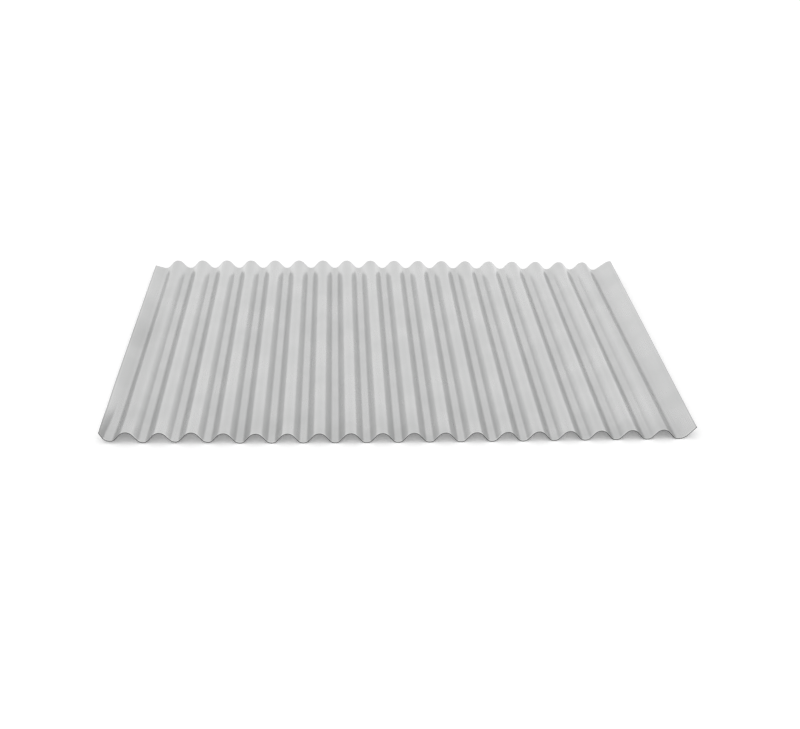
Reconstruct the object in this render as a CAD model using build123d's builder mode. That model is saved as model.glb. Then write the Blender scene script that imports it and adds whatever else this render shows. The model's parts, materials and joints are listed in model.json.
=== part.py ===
# A small-wave corrugated metal sheet, lying flat with its waves along Y.
# It is roll-formed from one flat blank, so it is one solid: a section of arcs and straight flanks,
# drawn along the middle of the metal, given the sheet's thickness and run along its length.
# The origin is below the middle of the sheet, on the plane that its valleys rest on.

import os
from math import cos, radians, sin

from build123d import *

# Driving dimensions, in millimetres and degrees
sheet_length = 450.0  # along the waves
sheet_thickness = 0.8
wave_pitch = 31.8  # crest to crest
wave_depth = 10.5  # valley to crest, on one face of the sheet
flank_angle = 49.0  # straight flanks, from level
crest_count = 18  # whole crests between the two side edges

# The two side edges, which lie more open than the waves
lip_angle = 23.0  # slope of the left lip, outside the first valley
lip_length = 12.7  # its straight run
edge_angle = 35.0  # slope that the right edge rises on, outside the last valley
edge_length = 12.5  # its straight run
edge_radius = 10.5  # bend of the part crest that the right edge ends on
edge_arc = 45.0  # and how far round it turns

# The bend and the straight flank that give this pitch, depth and flank angle
flank = radians(flank_angle)
half_pitch = wave_pitch / 2
bend_radius = (half_pitch * sin(flank) - wave_depth * cos(flank)) / (2 - 2 * cos(flank))
flank_length = wave_depth * sin(flank) / (1 - cos(flank)) - half_pitch

# Reach of each side edge, over the metal's corner: left of the first valley and right of the last
half_thickness = sheet_thickness / 2
lip = radians(lip_angle)
edge = radians(edge_angle)
past_top = radians(edge_arc - edge_angle)
lip_reach = (bend_radius + half_thickness) * sin(lip) + lip_length * cos(lip)
part_crest_reach = edge_radius * sin(edge) + (edge_radius + half_thickness) * sin(past_top)
edge_reach = bend_radius * sin(edge) + edge_length * cos(edge) + part_crest_reach
sheet_width = lip_reach + crest_count * wave_pitch + edge_reach

# The left lip's end, on the middle of the metal
lip_end = (
    half_thickness * sin(lip) - sheet_width / 2,
    half_thickness + bend_radius * (1 - cos(lip)) + lip_length * sin(lip),
)

# The sheet: left lip, whole waves, then a last valley that rises to the right edge's part crest
with BuildPart() as corrugated_sheet:
    with BuildSketch(Plane.XZ) as section:
        with BuildLine() as middle_of_metal:
            fall = PolarLine(lip_end, lip_length, -lip_angle)
            for fall_angle in [lip_angle] + [flank_angle] * (crest_count - 1):
                valley = JernArc(fall @ 1, fall % 1, bend_radius, fall_angle + flank_angle)
                rise = PolarLine(valley @ 1, flank_length, direction=valley % 1)
                crest = JernArc(rise @ 1, rise % 1, bend_radius, -2 * flank_angle)
                fall = PolarLine(crest @ 1, flank_length, direction=crest % 1)
            last_valley = JernArc(fall @ 1, fall % 1, bend_radius, flank_angle + edge_angle)
            last_rise = PolarLine(last_valley @ 1, edge_length, direction=last_valley % 1)
            JernArc(last_rise @ 1, last_rise % 1, edge_radius, -edge_arc)
        trace(line_width=sheet_thickness)
    extrude(amount=sheet_length / 2, both=True)

corrugated_sheet.part.label = "corrugated_sheet"
os.makedirs("parts", exist_ok=True)
export_step(corrugated_sheet.part, "parts/corrugated_sheet.step")
print(f"sheet {sheet_width:.2f} x {sheet_length:.2f} mm, bends {bend_radius:.2f} mm, flanks {flank_length:.2f} mm")
print(f"first valley at {lip_reach - sheet_width / 2:.3f} mm")
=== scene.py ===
import bpy
import json
from math import cos, pi, radians, sin, tau
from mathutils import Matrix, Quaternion, Vector


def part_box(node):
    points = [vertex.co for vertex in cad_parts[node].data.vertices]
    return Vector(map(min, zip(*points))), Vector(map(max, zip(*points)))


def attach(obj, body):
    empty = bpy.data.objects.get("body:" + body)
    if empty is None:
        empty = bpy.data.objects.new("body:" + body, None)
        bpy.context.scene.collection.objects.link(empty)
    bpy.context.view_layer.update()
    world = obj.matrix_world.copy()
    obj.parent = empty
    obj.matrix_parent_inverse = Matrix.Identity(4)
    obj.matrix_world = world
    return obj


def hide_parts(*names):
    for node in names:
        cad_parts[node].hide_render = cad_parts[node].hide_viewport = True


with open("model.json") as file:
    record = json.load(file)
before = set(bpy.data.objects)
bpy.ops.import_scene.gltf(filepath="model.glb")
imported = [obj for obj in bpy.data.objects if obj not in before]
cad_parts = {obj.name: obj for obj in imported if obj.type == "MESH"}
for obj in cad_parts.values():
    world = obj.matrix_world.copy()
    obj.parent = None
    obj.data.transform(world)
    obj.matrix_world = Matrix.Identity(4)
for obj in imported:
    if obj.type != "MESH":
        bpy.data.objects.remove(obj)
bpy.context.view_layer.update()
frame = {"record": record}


class Field:
    # a number in a node tree, so that a formula can be written as one
    def __init__(self, tree, socket):
        self.tree = tree
        self.socket = socket

    def math(self, operation, *others):
        node = self.tree.nodes.new("ShaderNodeMath")
        node.operation = operation
        for slot, value in enumerate((self,) + others):
            feed(self.tree, node.inputs[slot], value)
        return Field(self.tree, node.outputs[0])

    def __add__(self, other):
        return self.math("ADD", other)

    def __sub__(self, other):
        return self.math("SUBTRACT", other)

    def __mul__(self, other):
        return self.math("MULTIPLY", other)

    def __truediv__(self, other):
        return self.math("DIVIDE", other)

    def least(self, other):
        return self.math("MINIMUM", other)

    def most(self, other):
        return self.math("MAXIMUM", other)

    def between(self, low, high):
        return self.most(low).least(high)

    def absolute(self):
        return self.math("ABSOLUTE")

    def flipped(self):
        return self * -1.0 + 1.0  # what it lacks of 1

    def sine(self):
        return self.math("SINE")

    def cosine(self):
        return self.math("COSINE")


def feed(tree, socket, value):
    # link a field or an output, or write a plain value
    if isinstance(value, Field):
        tree.links.new(value.socket, socket)
    elif isinstance(value, bpy.types.NodeSocket):
        tree.links.new(value, socket)
    else:
        socket.default_value = value


def addNode(tree, kind, inputs=None, **options):
    node = tree.nodes.new(kind)
    for name, value in options.items():
        setattr(node, name, value)
    for name, value in (inputs or {}).items():
        feed(tree, node.inputs[name], value)
    return node


def vectorOf(tree, x, y, z):
    return addNode(tree, "ShaderNodeCombineXYZ", {"X": x, "Y": y, "Z": z}).outputs[0]


def easeBetween(tree, value, low, high):
    # 0 below low, 1 above high, smooth between
    node = addNode(tree, "ShaderNodeMapRange", {"Value": value, "From Min": low, "From Max": high},
                   interpolation_type="SMOOTHSTEP")
    return Field(tree, node.outputs[0])


def fadeBetween(tree, value, low, high):
    # the other way: 1 below low, 0 above high
    return easeBetween(tree, value, low, high).flipped()


def noise(tree, place, scale, detail, rough=0.5):
    node = addNode(tree, "ShaderNodeTexNoise", {
        "Vector": place, "Scale": scale, "Detail": detail, "Roughness": rough})
    return Field(tree, node.outputs[0])


# the rolled sheet: sizes in metres and degrees, front is towards -Y
sheetSizes = {
    "pitch": 0.0318,
    "depth": 0.0105,
    "flankAngle": 49.0,
    "crestShare": 0.53,  # the crest's share of the two bends' radii
    "crests": 18,
    "thickness": 0.0008,
    "lipFront": 0.0144,  # metal left of the first valley, along the surface
    "lipBack": 0.0141,
    "lipAngleFront": 29.0,  # how far the lip is bent up
    "lipAngleBack": 17.0,
    "lipCorner": 0.0147,  # the same at the front corner, where the lip slowly curls up
    "lipCornerAngle": 62.0,
    "lipCornerBend": 0.0080,
    "curlReach": 0.165,  # how far back the curl goes
    "curlEase": 1.7,
    "edgeFront": 0.0215,  # metal right of the last valley, along the surface
    "edgeBack": 0.0272,
    "edgeAngleFront": 33.0,  # slope that it rises on
    "edgeAngleBack": 38.0,
    "edgeCorner": 0.0226,  # the same at the front corner, which is steeper and out of a wider bend
    "edgeCornerAngle": 50.0,
    "edgeCornerBend": 0.0130,
    "cornerReach": 0.100,
    "cornerEase": 3.0,
    "edgeFlankFront": 0.0125,  # straight rise before the part crest
    "edgeFlankBack": 0.0148,
    "edgeBend": 0.0105,  # bend of the part crest
    "edgeBendLeft": 0.02,  # what is left of that bend at the front corner, where it runs out
    "openFront": 0.0018,  # how far the outer waves are spread at the front
    "leanBack": 0.0011,  # and how far to the left they lie at the back
    "cornerLift": 0.0022,  # front left corner, off the floor
    "cornerSpread": 0.055,
    "humpLift": 0.0015,  # and the front end of the second to fourth waves
    "humpSpread": 0.080,
    "humpPlace": 0.071,  # right of the first valley
    "liftSlant": 1.3,  # a lift fades this much faster across the waves than along them
    "endBow": 0.0032,  # ends a little longer in the middle than at the corners
    "bowMiddle": 0.33,  # so that the mean length stays
    "skewFront": 0.0017,  # and a little out of square
    "skewBack": -0.0014,
    "ripple": 0.00030,  # slow waves in the metal, up and down by so much
    "rippleScale": 9.0,
    "rippleDetail": 1.0,
    "columnsPerWave": 32,
    "columnsPerSide": 18,
    "rows": 60,
    "rowCrowding": 0.6,  # closer rows towards the two ends
    "cutRound": 0.00012,  # rounding of the cut edges
    "cutSegments": 2,
    "cutAbove": 50.0,  # edges sharper than this are rounded
    "smoothBelow": 24.0,  # and edges blunter than this are shaded smooth
    "seed": 4,
}


def sheetTree(sizes, material):
    tree = bpy.data.node_groups.new("corrugatedSheet", "GeometryNodeTree")
    for name, value in sizes.items():
        kind = "NodeSocketInt" if isinstance(value, int) else "NodeSocketFloat"
        tree.interface.new_socket(name=name, in_out="INPUT", socket_type=kind)
    tree.interface.new_socket(name="Geometry", in_out="OUTPUT", socket_type="NodeSocketGeometry")
    groupInput = tree.nodes.new("NodeGroupInput")
    size = {name: Field(tree, groupInput.outputs[name]) for name in sizes}

    # a flat grid, one unit to a column and to a row
    side, rows = size["columnsPerSide"], size["rows"]
    mainColumns = size["crests"] * size["columnsPerWave"]
    columns = mainColumns + side * 2.0
    grid = addNode(tree, "GeometryNodeMeshGrid", {
        "Size X": columns, "Size Y": rows, "Vertices X": columns + 1.0, "Vertices Y": rows + 1.0})
    position = tree.nodes.new("GeometryNodeInputPosition").outputs[0]
    place = addNode(tree, "ShaderNodeSeparateXYZ", {"Vector": position})
    column = Field(tree, place.outputs["X"]) + columns / 2.0
    row = Field(tree, place.outputs["Y"]) / rows + 0.5
    along = row - (row * tau).sine() * size["rowCrowding"] / tau  # 0 at the front end, 1 at the back
    fromFront = along * size["length"]

    def towardsFront(name):
        near = (fromFront / size[name + "Reach"]).flipped().most(0.0)
        return near.math("POWER", size[name + "Ease"])

    def frontToBack(name):
        front, back = size[name + "Front"], size[name + "Back"]
        return front + (back - front) * along

    def atCorner(plain, name, share):
        return plain + (size[name] - plain) * share

    curl = towardsFront("curl")
    corner = towardsFront("corner")

    # distance along the metal: the waves, and what is left over on either side
    flank, flankRun = size["flank"], size["flankRun"]
    valleyBend, crestBend = size["valleyBend"], size["crestBend"]
    valleyRun = valleyBend * flank
    waveRun = (valleyRun + flankRun + crestBend * flank) * 2.0
    lipLength = atCorner(frontToBack("lip"), "lipCorner", curl * curl)  # keeps the lip's outline straight
    edgeLength = atCorner(frontToBack("edge"), "edgeCorner", corner)
    lipRun = (side - column).most(0.0) / side * lipLength
    mainRun = (column - side).between(0.0, mainColumns) / size["columnsPerWave"] * waveRun
    edgeRun = (column - side - mainColumns).most(0.0) / side * edgeLength

    # whole waves, as arcs joined by straight flanks, folded about each crest
    wave = (mainRun / waveRun).math("FLOOR")
    inWave = mainRun - wave * waveRun
    folded = waveRun / 2.0 - (inWave - waveRun / 2.0).absolute()
    rising = (waveRun / 2.0 - inWave).math("SIGN")
    valleyTurn = folded.least(valleyRun) / valleyBend
    straight = (folded - valleyRun).between(0.0, flankRun)
    crestTurn = flank - (folded - valleyRun - flankRun).most(0.0) / crestBend
    across = (valleyBend * valleyTurn.sine() + straight * flank.cosine()
              + crestBend * (flank.sine() - crestTurn.sine()))
    height = (valleyBend * valleyTurn.cosine().flipped() + straight * flank.sine()
              + crestBend * (crestTurn.cosine() - flank.cosine()))
    halfPitch = size["pitch"] / 2.0
    x = wave * size["pitch"] + halfPitch - rising * (halfPitch - across)

    # the left lip: out of the first valley, through a bend, then straight
    lipAngle = atCorner(frontToBack("lipAngle"), "lipCornerAngle", curl)
    lipBend = atCorner(valleyBend, "lipCornerBend", curl)
    lipTurn = (lipRun / lipBend).least(lipAngle)
    lipStraight = lipRun - lipBend * lipTurn
    x = x - lipBend * lipTurn.sine() - lipStraight * lipAngle.cosine()
    height = height + lipBend * lipTurn.cosine().flipped() + lipStraight * lipAngle.sine()

    # the right edge: out of the last valley, up a slope, and round a part crest
    # that runs out at the front corner
    edgeAngle = atCorner(frontToBack("edgeAngle"), "edgeCornerAngle", corner)
    edgeValley = atCorner(valleyBend, "edgeCornerBend", corner)
    partCrest = size["edgeBend"] / (corner.flipped() + size["edgeBendLeft"])
    edgeTurn = (edgeRun / edgeValley).least(edgeAngle)
    pastBend = (edgeRun - edgeValley * edgeAngle).most(0.0)
    edgeFlank = frontToBack("edgeFlank")
    edgeStraight = pastBend.between(0.0, edgeFlank)
    partTurn = edgeAngle - (pastBend - edgeFlank).most(0.0) / partCrest
    x = (x + edgeValley * edgeTurn.sine() + edgeStraight * edgeAngle.cosine()
         + partCrest * (edgeAngle.sine() - partTurn.sine()))
    height = (height + edgeValley * edgeTurn.cosine().flipped() + edgeStraight * edgeAngle.sine()
              + partCrest * (partTurn.cosine() - edgeAngle.cosine()))

    # out of true: outer waves that spread at the front and lean at the back, bowed and skewed ends,
    # a front end that is off the floor in two places, and slow ripples
    x = x + size["firstValley"]
    fromMiddle = x / size["firstValley"] * -1.0  # -1 at the first valley, 1 at its mirror place
    squared = fromMiddle * fromMiddle
    spread = size["openFront"] * along.flipped() * fromMiddle - size["leanBack"] * along
    x = x + spread * squared * squared
    bow = size["endBow"] * 2.0 * (size["bowMiddle"] - squared)  # half of it at each end
    y = (along - 0.5) * (size["length"] + bow) + frontToBack("skew") * fromMiddle

    def lifted(name, sideways):
        away = sideways * size["liftSlant"] + fromFront
        return size[name + "Lift"] * fadeBetween(tree, away, 0.0, size[name + "Spread"])

    fromValley = x - size["firstValley"]
    lift = lifted("corner", fromValley) + lifted("hump", (fromValley - size["humpPlace"]).absolute())
    wander = noise(tree, vectorOf(tree, x, y, size["seed"]), size["rippleScale"], size["rippleDetail"])
    height = height + lift + (wander - 0.5) * size["ripple"] * 2.0

    # for the coat, its painted shade and painted highlights: the flat blank's own coordinates, and the
    # distance in from the nearest cut edge, both stored while the grid is still flat
    run = mainRun - lipRun + edgeRun
    fromSide = (run + lipLength).least(size["crests"] * waveRun + edgeLength - run)
    fromEnd = along.least(along.flipped()) * size["length"]
    blank = addNode(tree, "GeometryNodeStoreNamedAttribute", {
        "Geometry": grid.outputs["Mesh"], "Name": "blank", "Value": vectorOf(tree, run, fromFront, 0.0)},
        data_type="FLOAT_VECTOR", domain="POINT")
    cutEdge = addNode(tree, "GeometryNodeStoreNamedAttribute", {
        "Geometry": blank.outputs[0], "Name": "fromCut", "Value": fromSide.least(fromEnd)},
        data_type="FLOAT", domain="POINT")

    shaped = addNode(tree, "GeometryNodeSetPosition", {
        "Geometry": cutEdge.outputs[0], "Position": vectorOf(tree, x, y, height + size["thickness"] / 2.0)})
    smooth = addNode(tree, "GeometryNodeSetShadeSmooth", {"Geometry": shaped.outputs[0]})
    real = addNode(tree, "GeometryNodeRealizeInstances", {"Geometry": smooth.outputs[0]})
    finish = addNode(tree, "GeometryNodeSetMaterial", {"Geometry": real.outputs[0], "Material": material})
    output = tree.nodes.new("NodeGroupOutput")
    tree.links.new(finish.outputs[0], output.inputs[0])
    return tree


def makeSheet(settings, material):
    low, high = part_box("corrugated_sheet")
    seat = next(mount for mount in frame["record"]["mounts"] if mount["name"] == "valley_seat")
    flank = radians(settings["flankAngle"])
    halfPitch = settings["pitch"] / 2
    depth = settings["depth"]
    bothBends = (halfPitch * sin(flank) - depth * cos(flank)) / (1 - cos(flank))
    notInTree = ("depth", "flankAngle", "crestShare", "cutRound", "cutSegments", "cutAbove", "smoothBelow")
    sizes = {name: radians(size) if "Angle" in name else size
             for name, size in settings.items() if name not in notInTree}
    sizes.update({
        "flank": flank,
        "valleyBend": bothBends * (1 - settings["crestShare"]),
        "crestBend": bothBends * settings["crestShare"],
        "flankRun": depth * sin(flank) / (1 - cos(flank)) - halfPitch,
        "length": high.y - low.y,
        "firstValley": seat["pos_m"][0] - settings["crests"] * halfPitch,  # the seat is the middle valley
    })
    tree = sheetTree(sizes, material)
    piece = bpy.data.objects.new("rolledSheet", bpy.data.meshes.new("rolledSheet"))
    bpy.context.scene.collection.objects.link(piece)
    nodes = piece.modifiers.new("waves", "NODES")
    nodes.node_group = tree
    for item in tree.interface.items_tree:
        if item.in_out == "INPUT":
            nodes[item.identifier] = sizes[item.name]

    metal = piece.modifiers.new("metal", "SOLIDIFY")
    metal.thickness = settings["thickness"]
    metal.offset = 0.0
    metal.use_even_offset = True
    metal.use_quality_normals = True
    cut = piece.modifiers.new("cutEdges", "BEVEL")
    cut.width = settings["cutRound"]
    cut.segments = settings["cutSegments"]
    cut.limit_method = "ANGLE"
    cut.angle_limit = radians(settings["cutAbove"])

    graph = bpy.context.evaluated_depsgraph_get()
    mesh = bpy.data.meshes.new_from_object(piece.evaluated_get(graph), depsgraph=graph)
    piece.modifiers.clear()
    piece.data = mesh
    floorGap = min(vertex.co.z for vertex in mesh.vertices) - low.z
    for vertex in mesh.vertices:
        vertex.co.z -= floorGap  # the lowest valley touches the floor
    mesh.set_sharp_from_angle(angle=radians(settings["smoothBelow"]))
    print("sheet", len(mesh.polygons), "faces, lowered", round(floorGap * 1000, 3), "mm")
    return piece


# the zinc coat, with painted shade and painted highlights in it: places in metres on the flat blank, from
# the first valley and from the front end
zincCoatAndShadeSettings = {
    "pale": (0.642, 0.644, 0.643, 1.0),
    "dull": (0.608, 0.612, 0.610, 1.0),
    # cut faces: bare steel, painted near black as shade
    "cut": (0.07, 0.07, 0.07, 1.0),
    "metal": 1.0,
    "roughLow": 0.25,
    "roughHigh": 0.33,
    "roughLines": 0.6,  # share of the rolling lines in the roughness, the rest is the patches'
    "mottleScale": 16.0,
    "mottleDetail": 4.0,
    "mottleRough": 0.55,
    "patchRange": (0.35, 0.65),
    "streakAcross": 700.0,  # rolling lines, so many to the metre
    "streakAlong": 9.0,
    "streakDetail": 3.0,
    "streakRough": 0.6,
    "grainScale": 1400.0,
    "grainDetail": 2.0,
    "relief": 0.025,
    "reliefDepth": 0.0002,
    "reliefLines": 0.8,  # share of the rolling lines in the relief, the rest is the grain's
    "valleyShade": 0.065,  # painted shade in the valleys, how much darker they are
    "valleyHeight": 0.0075,
    "frontShade": 0.075,  # painted shade along the front end, darker towards it
    "frontReach": 0.075,
    "frontPatchy": 0.6,  # share of it that follows the cloudy patches
    "leftShade": 0.045,  # painted shade over the left lip and the first crest, fading out before the back end
    "leftFade": (0.018, 0.032),
    "leftEnd": (0.32, 0.39),
    "lipShade": 0.075,  # a painted cloud of shade on that lip, so far from the front
    "lipShadePlace": 0.245,
    "lipShadeReach": 0.065,
    "rightShade": 0.04,  # painted shade over the right edge, less and less towards the back
    "rightRise": (0.716, 0.726),
    "rightEnd": 0.36,
    "firstStreak": (0.0115, 0.0115, 0.11),  # painted shade streaks along the outer flanks: place, reach and amount
    "lastStreak": (0.6990, 0.0075, 0.14),
    "valleyStreak": (0.7120, 0.0038, 0.10),
    "edgeLine": 0.15,  # darker line along every edge, with a painted highlight line inside it
    "lineFade": (0.00054, 0.00126),  # in from the cut
    "highlightLine": 0.04,
    "highlightLineRise": (0.00090, 0.00162),
    "highlightLineFade": (0.00234, 0.00324),
    "frontRim": 0.13,  # painted highlight along the front end, right up to the cut
    "rimFade": (0.00096, 0.00224),
    "cutFade": (0.00003, 0.00006),  # the cut face itself: bare steel, painted near black as shade
}


def mixColours(tree, share, first, second):
    # by number, because the node's sockets for other kinds of data share these names
    mix = addNode(tree, "ShaderNodeMix", {0: share, 6: first, 7: second}, data_type="RGBA")
    return mix.outputs[2]


def zincMaterial(finish):
    material = bpy.data.materials.new("zincCoatWithPaintedShade")
    material.use_nodes = True
    tree = material.node_tree
    shader = tree.nodes["Principled BSDF"]
    shader.inputs["Metallic"].default_value = finish["metal"]

    place = addNode(tree, "ShaderNodeTexCoord").outputs["Object"]
    parts = addNode(tree, "ShaderNodeSeparateXYZ", {"Vector": place})
    height = Field(tree, parts.outputs["Z"])
    fromFront = Field(tree, parts.outputs["Y"]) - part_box("corrugated_sheet")[0].y
    blank = addNode(tree, "ShaderNodeAttribute", attribute_name="blank").outputs["Vector"]
    onBlank = addNode(tree, "ShaderNodeSeparateXYZ", {"Vector": blank})
    crosswise = Field(tree, onBlank.outputs["X"])
    lengthwise = Field(tree, onBlank.outputs["Y"])
    fromCut = Field(tree, addNode(tree, "ShaderNodeAttribute", attribute_name="fromCut").outputs["Fac"])

    # cloudy patches in the coat
    mottle = noise(tree, place, finish["mottleScale"], finish["mottleDetail"], finish["mottleRough"])
    patch = easeBetween(tree, mottle, *finish["patchRange"])
    coat = mixColours(tree, patch, finish["pale"], finish["dull"])

    # painted shade: darker in the valleys, along the front, over both side edges and along the outer flanks
    paintedShading = fadeBetween(tree, height, 0.0, finish["valleyHeight"]) * finish["valleyShade"]
    nearFront = fadeBetween(tree, fromFront, 0.0, finish["frontReach"])
    patchyFront = patch * finish["frontPatchy"] + (1.0 - finish["frontPatchy"])
    paintedShading = paintedShading + nearFront * patchyFront * finish["frontShade"]
    # painted shade over the left lip, with a painted cloud of shade on it
    leftSide = fadeBetween(tree, crosswise, *finish["leftFade"])
    leftShadeAlong = fadeBetween(tree, lengthwise, *finish["leftEnd"])
    fromLipShade = (lengthwise - finish["lipShadePlace"]).absolute()
    clouded = fadeBetween(tree, fromLipShade, 0.0, finish["lipShadeReach"])
    paintedShading = paintedShading + leftSide * (leftShadeAlong * finish["leftShade"] + clouded * finish["lipShade"])
    # painted shade over the right edge
    rightSide = easeBetween(tree, crosswise, *finish["rightRise"])
    paintedShading = paintedShading + rightSide * fadeBetween(tree, lengthwise, 0.0, finish["rightEnd"]) * finish["rightShade"]
    # painted shade streaks along the outer flanks
    for name in ("firstStreak", "lastStreak", "valleyStreak"):
        middle, reach, amount = finish[name]
        fromStreak = (crosswise - middle).absolute()
        paintedShading = paintedShading + fadeBetween(tree, fromStreak, 0.0, reach) * amount

    # lines along the edges: a darker one, and painted highlights inside it and along the front end
    outer = fadeBetween(tree, fromCut, *finish["lineFade"])
    inner = (easeBetween(tree, fromCut, *finish["highlightLineRise"])
             - easeBetween(tree, fromCut, *finish["highlightLineFade"]))
    rim = fadeBetween(tree, lengthwise, *finish["rimFade"])
    paintedShading = paintedShading + outer * rim.flipped() * finish["edgeLine"]
    paintedShading = paintedShading - inner * finish["highlightLine"] - rim * finish["frontRim"]
    # the coat darkened by the painted shade and lightened by the painted highlights
    shadedCoat = addNode(tree, "ShaderNodeVectorMath", {0: coat, "Scale": paintedShading.flipped()}, operation="SCALE")

    # the cut faces: bare steel, painted near black as shade, so that the cut ends read as a dark outline
    cutFace = fadeBetween(tree, fromCut, *finish["cutFade"])
    colour = mixColours(tree, cutFace, shadedCoat.outputs[0], finish["cut"])
    tree.links.new(colour, shader.inputs["Base Color"])

    # rolling lines along the waves, and a fine grain
    stretched = addNode(tree, "ShaderNodeVectorMath", {
        0: blank, 1: (finish["streakAcross"], finish["streakAlong"], 1.0)}, operation="MULTIPLY")
    streak = noise(tree, stretched.outputs[0], 1.0, finish["streakDetail"], finish["streakRough"])
    grain = noise(tree, place, finish["grainScale"], finish["grainDetail"])
    rough = streak * finish["roughLines"] + patch * (1.0 - finish["roughLines"])
    rough = rough * (finish["roughHigh"] - finish["roughLow"]) + finish["roughLow"]
    tree.links.new(rough.socket, shader.inputs["Roughness"])
    relief = streak * finish["reliefLines"] + grain * (1.0 - finish["reliefLines"])
    bump = addNode(tree, "ShaderNodeBump", {
        "Height": relief, "Strength": finish["relief"], "Distance": finish["reliefDepth"]})
    tree.links.new(bump.outputs[0], shader.inputs["Normal"])
    print("material", material.name)
    return material


# the floor, the light and the camera
studio = {
    "floorSize": 40.0,
    "floorColour": (0.93, 0.93, 0.93, 1.0),
    "floorGlow": 0.16,  # seen directly, so that the floor is white
    "farGlow": 0.18,  # more of it out of the lamp's reach
    "farFrom": 0.7,
    "farTo": 2.5,
    "skyColour": (1.0, 1.0, 1.0, 1.0),
    "skyLevel": 0.83,
    "ceilingDim": 0.20,  # how much darker the metal sees the sky overhead than at the horizon
    "ceilingFrom": 0.40,
    "ceilingTo": 0.85,
    "lampPlace": (-0.5, -0.5, 2.6),
    "lampSize": 2.8,
    "lampRadiance": 0.65,
    "eye": (-0.06754, -1.2557, 0.62334),
    "aim": (0.00635, -0.05419, 0.0),
    "roll": 1.515,  # degrees
    "lens": 53.63,
    "farthest": 50.0,
}


def seenDirectly(tree):
    # 1 on camera, mirror and clear rays, 0 on the rest; and the mirror rays alone
    path = tree.nodes.new("ShaderNodeLightPath")
    camera = Field(tree, path.outputs["Is Camera Ray"])
    glossy = Field(tree, path.outputs["Is Glossy Ray"])
    clear = Field(tree, path.outputs["Is Transmission Ray"])
    return camera.most(glossy).most(clear), glossy


def makeSky(scene, settings):
    world = bpy.data.worlds.new("studio")
    scene.world = world
    world.use_nodes = True
    tree = world.node_tree
    sky = tree.nodes["Background"]
    sky.inputs["Color"].default_value = settings["skyColour"]
    seen, glossy = seenDirectly(tree)
    ray = addNode(tree, "ShaderNodeTexCoord").outputs["Generated"]
    parts = addNode(tree, "ShaderNodeSeparateXYZ", {"Vector": ray})
    ceiling = easeBetween(tree, parts.outputs["Z"], settings["ceilingFrom"], settings["ceilingTo"])
    level = seen * (1.0 - settings["skyLevel"]) + settings["skyLevel"]
    level = level - glossy * ceiling * settings["ceilingDim"]
    tree.links.new(level.socket, sky.inputs["Strength"])


def makeFloor(scene, settings):
    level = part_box("corrugated_sheet")[0].z
    half = settings["floorSize"] / 2
    mesh = bpy.data.meshes.new("floor")
    corners = [(-half, -half, level), (half, -half, level), (half, half, level), (-half, half, level)]
    mesh.from_pydata(corners, [], [(0, 1, 2, 3)])
    floor = bpy.data.objects.new("floor", mesh)
    scene.collection.objects.link(floor)
    paint = bpy.data.materials.new("floorPaint")
    paint.use_nodes = True
    tree = paint.node_tree
    tree.nodes.remove(tree.nodes["Principled BSDF"])
    seen = seenDirectly(tree)[0]
    matt = addNode(tree, "ShaderNodeBsdfDiffuse", {"Color": settings["floorColour"]})
    place = addNode(tree, "ShaderNodeTexCoord").outputs["Object"]
    fromSheet = addNode(tree, "ShaderNodeVectorMath", {0: place}, operation="LENGTH").outputs["Value"]
    far = easeBetween(tree, fromSheet, settings["farFrom"], settings["farTo"])
    glow = addNode(tree, "ShaderNodeEmission", {
        "Strength": seen * (far * settings["farGlow"] + settings["floorGlow"])})
    both = addNode(tree, "ShaderNodeAddShader", {0: matt.outputs[0], 1: glow.outputs[0]})
    tree.links.new(both.outputs[0], tree.nodes["Material Output"].inputs["Surface"])
    mesh.materials.append(paint)


def makeStudio(settings):
    scene = bpy.context.scene
    scene.view_settings.view_transform = "Standard"
    makeSky(scene, settings)
    makeFloor(scene, settings)

    lamp = bpy.data.lights.new("softbox", "AREA")
    lamp.size = settings["lampSize"]
    lamp.energy = settings["lampRadiance"] * pi * settings["lampSize"] ** 2
    softbox = bpy.data.objects.new("softbox", lamp)
    softbox.location = settings["lampPlace"]
    softbox.rotation_euler = (-Vector(settings["lampPlace"])).to_track_quat("-Z", "Y").to_euler()
    scene.collection.objects.link(softbox)

    view = bpy.data.cameras.new("camera")
    view.lens = settings["lens"]
    view.clip_end = settings["farthest"]
    camera = bpy.data.objects.new("camera", view)
    eye = Vector(settings["eye"])
    turn = (Vector(settings["aim"]) - eye).to_track_quat("-Z", "Y")
    camera.location = eye
    camera.rotation_euler = (turn @ Quaternion((0, 0, 1), radians(settings["roll"]))).to_euler()
    scene.collection.objects.link(camera)
    scene.camera = camera
    print("studio set")


zincCoatWithPaintedShade = zincMaterial(zincCoatAndShadeSettings)
rolledSheet = makeSheet(sheetSizes, zincCoatWithPaintedShade)
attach(rolledSheet, "root")
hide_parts("corrugated_sheet")
makeStudio(studio)
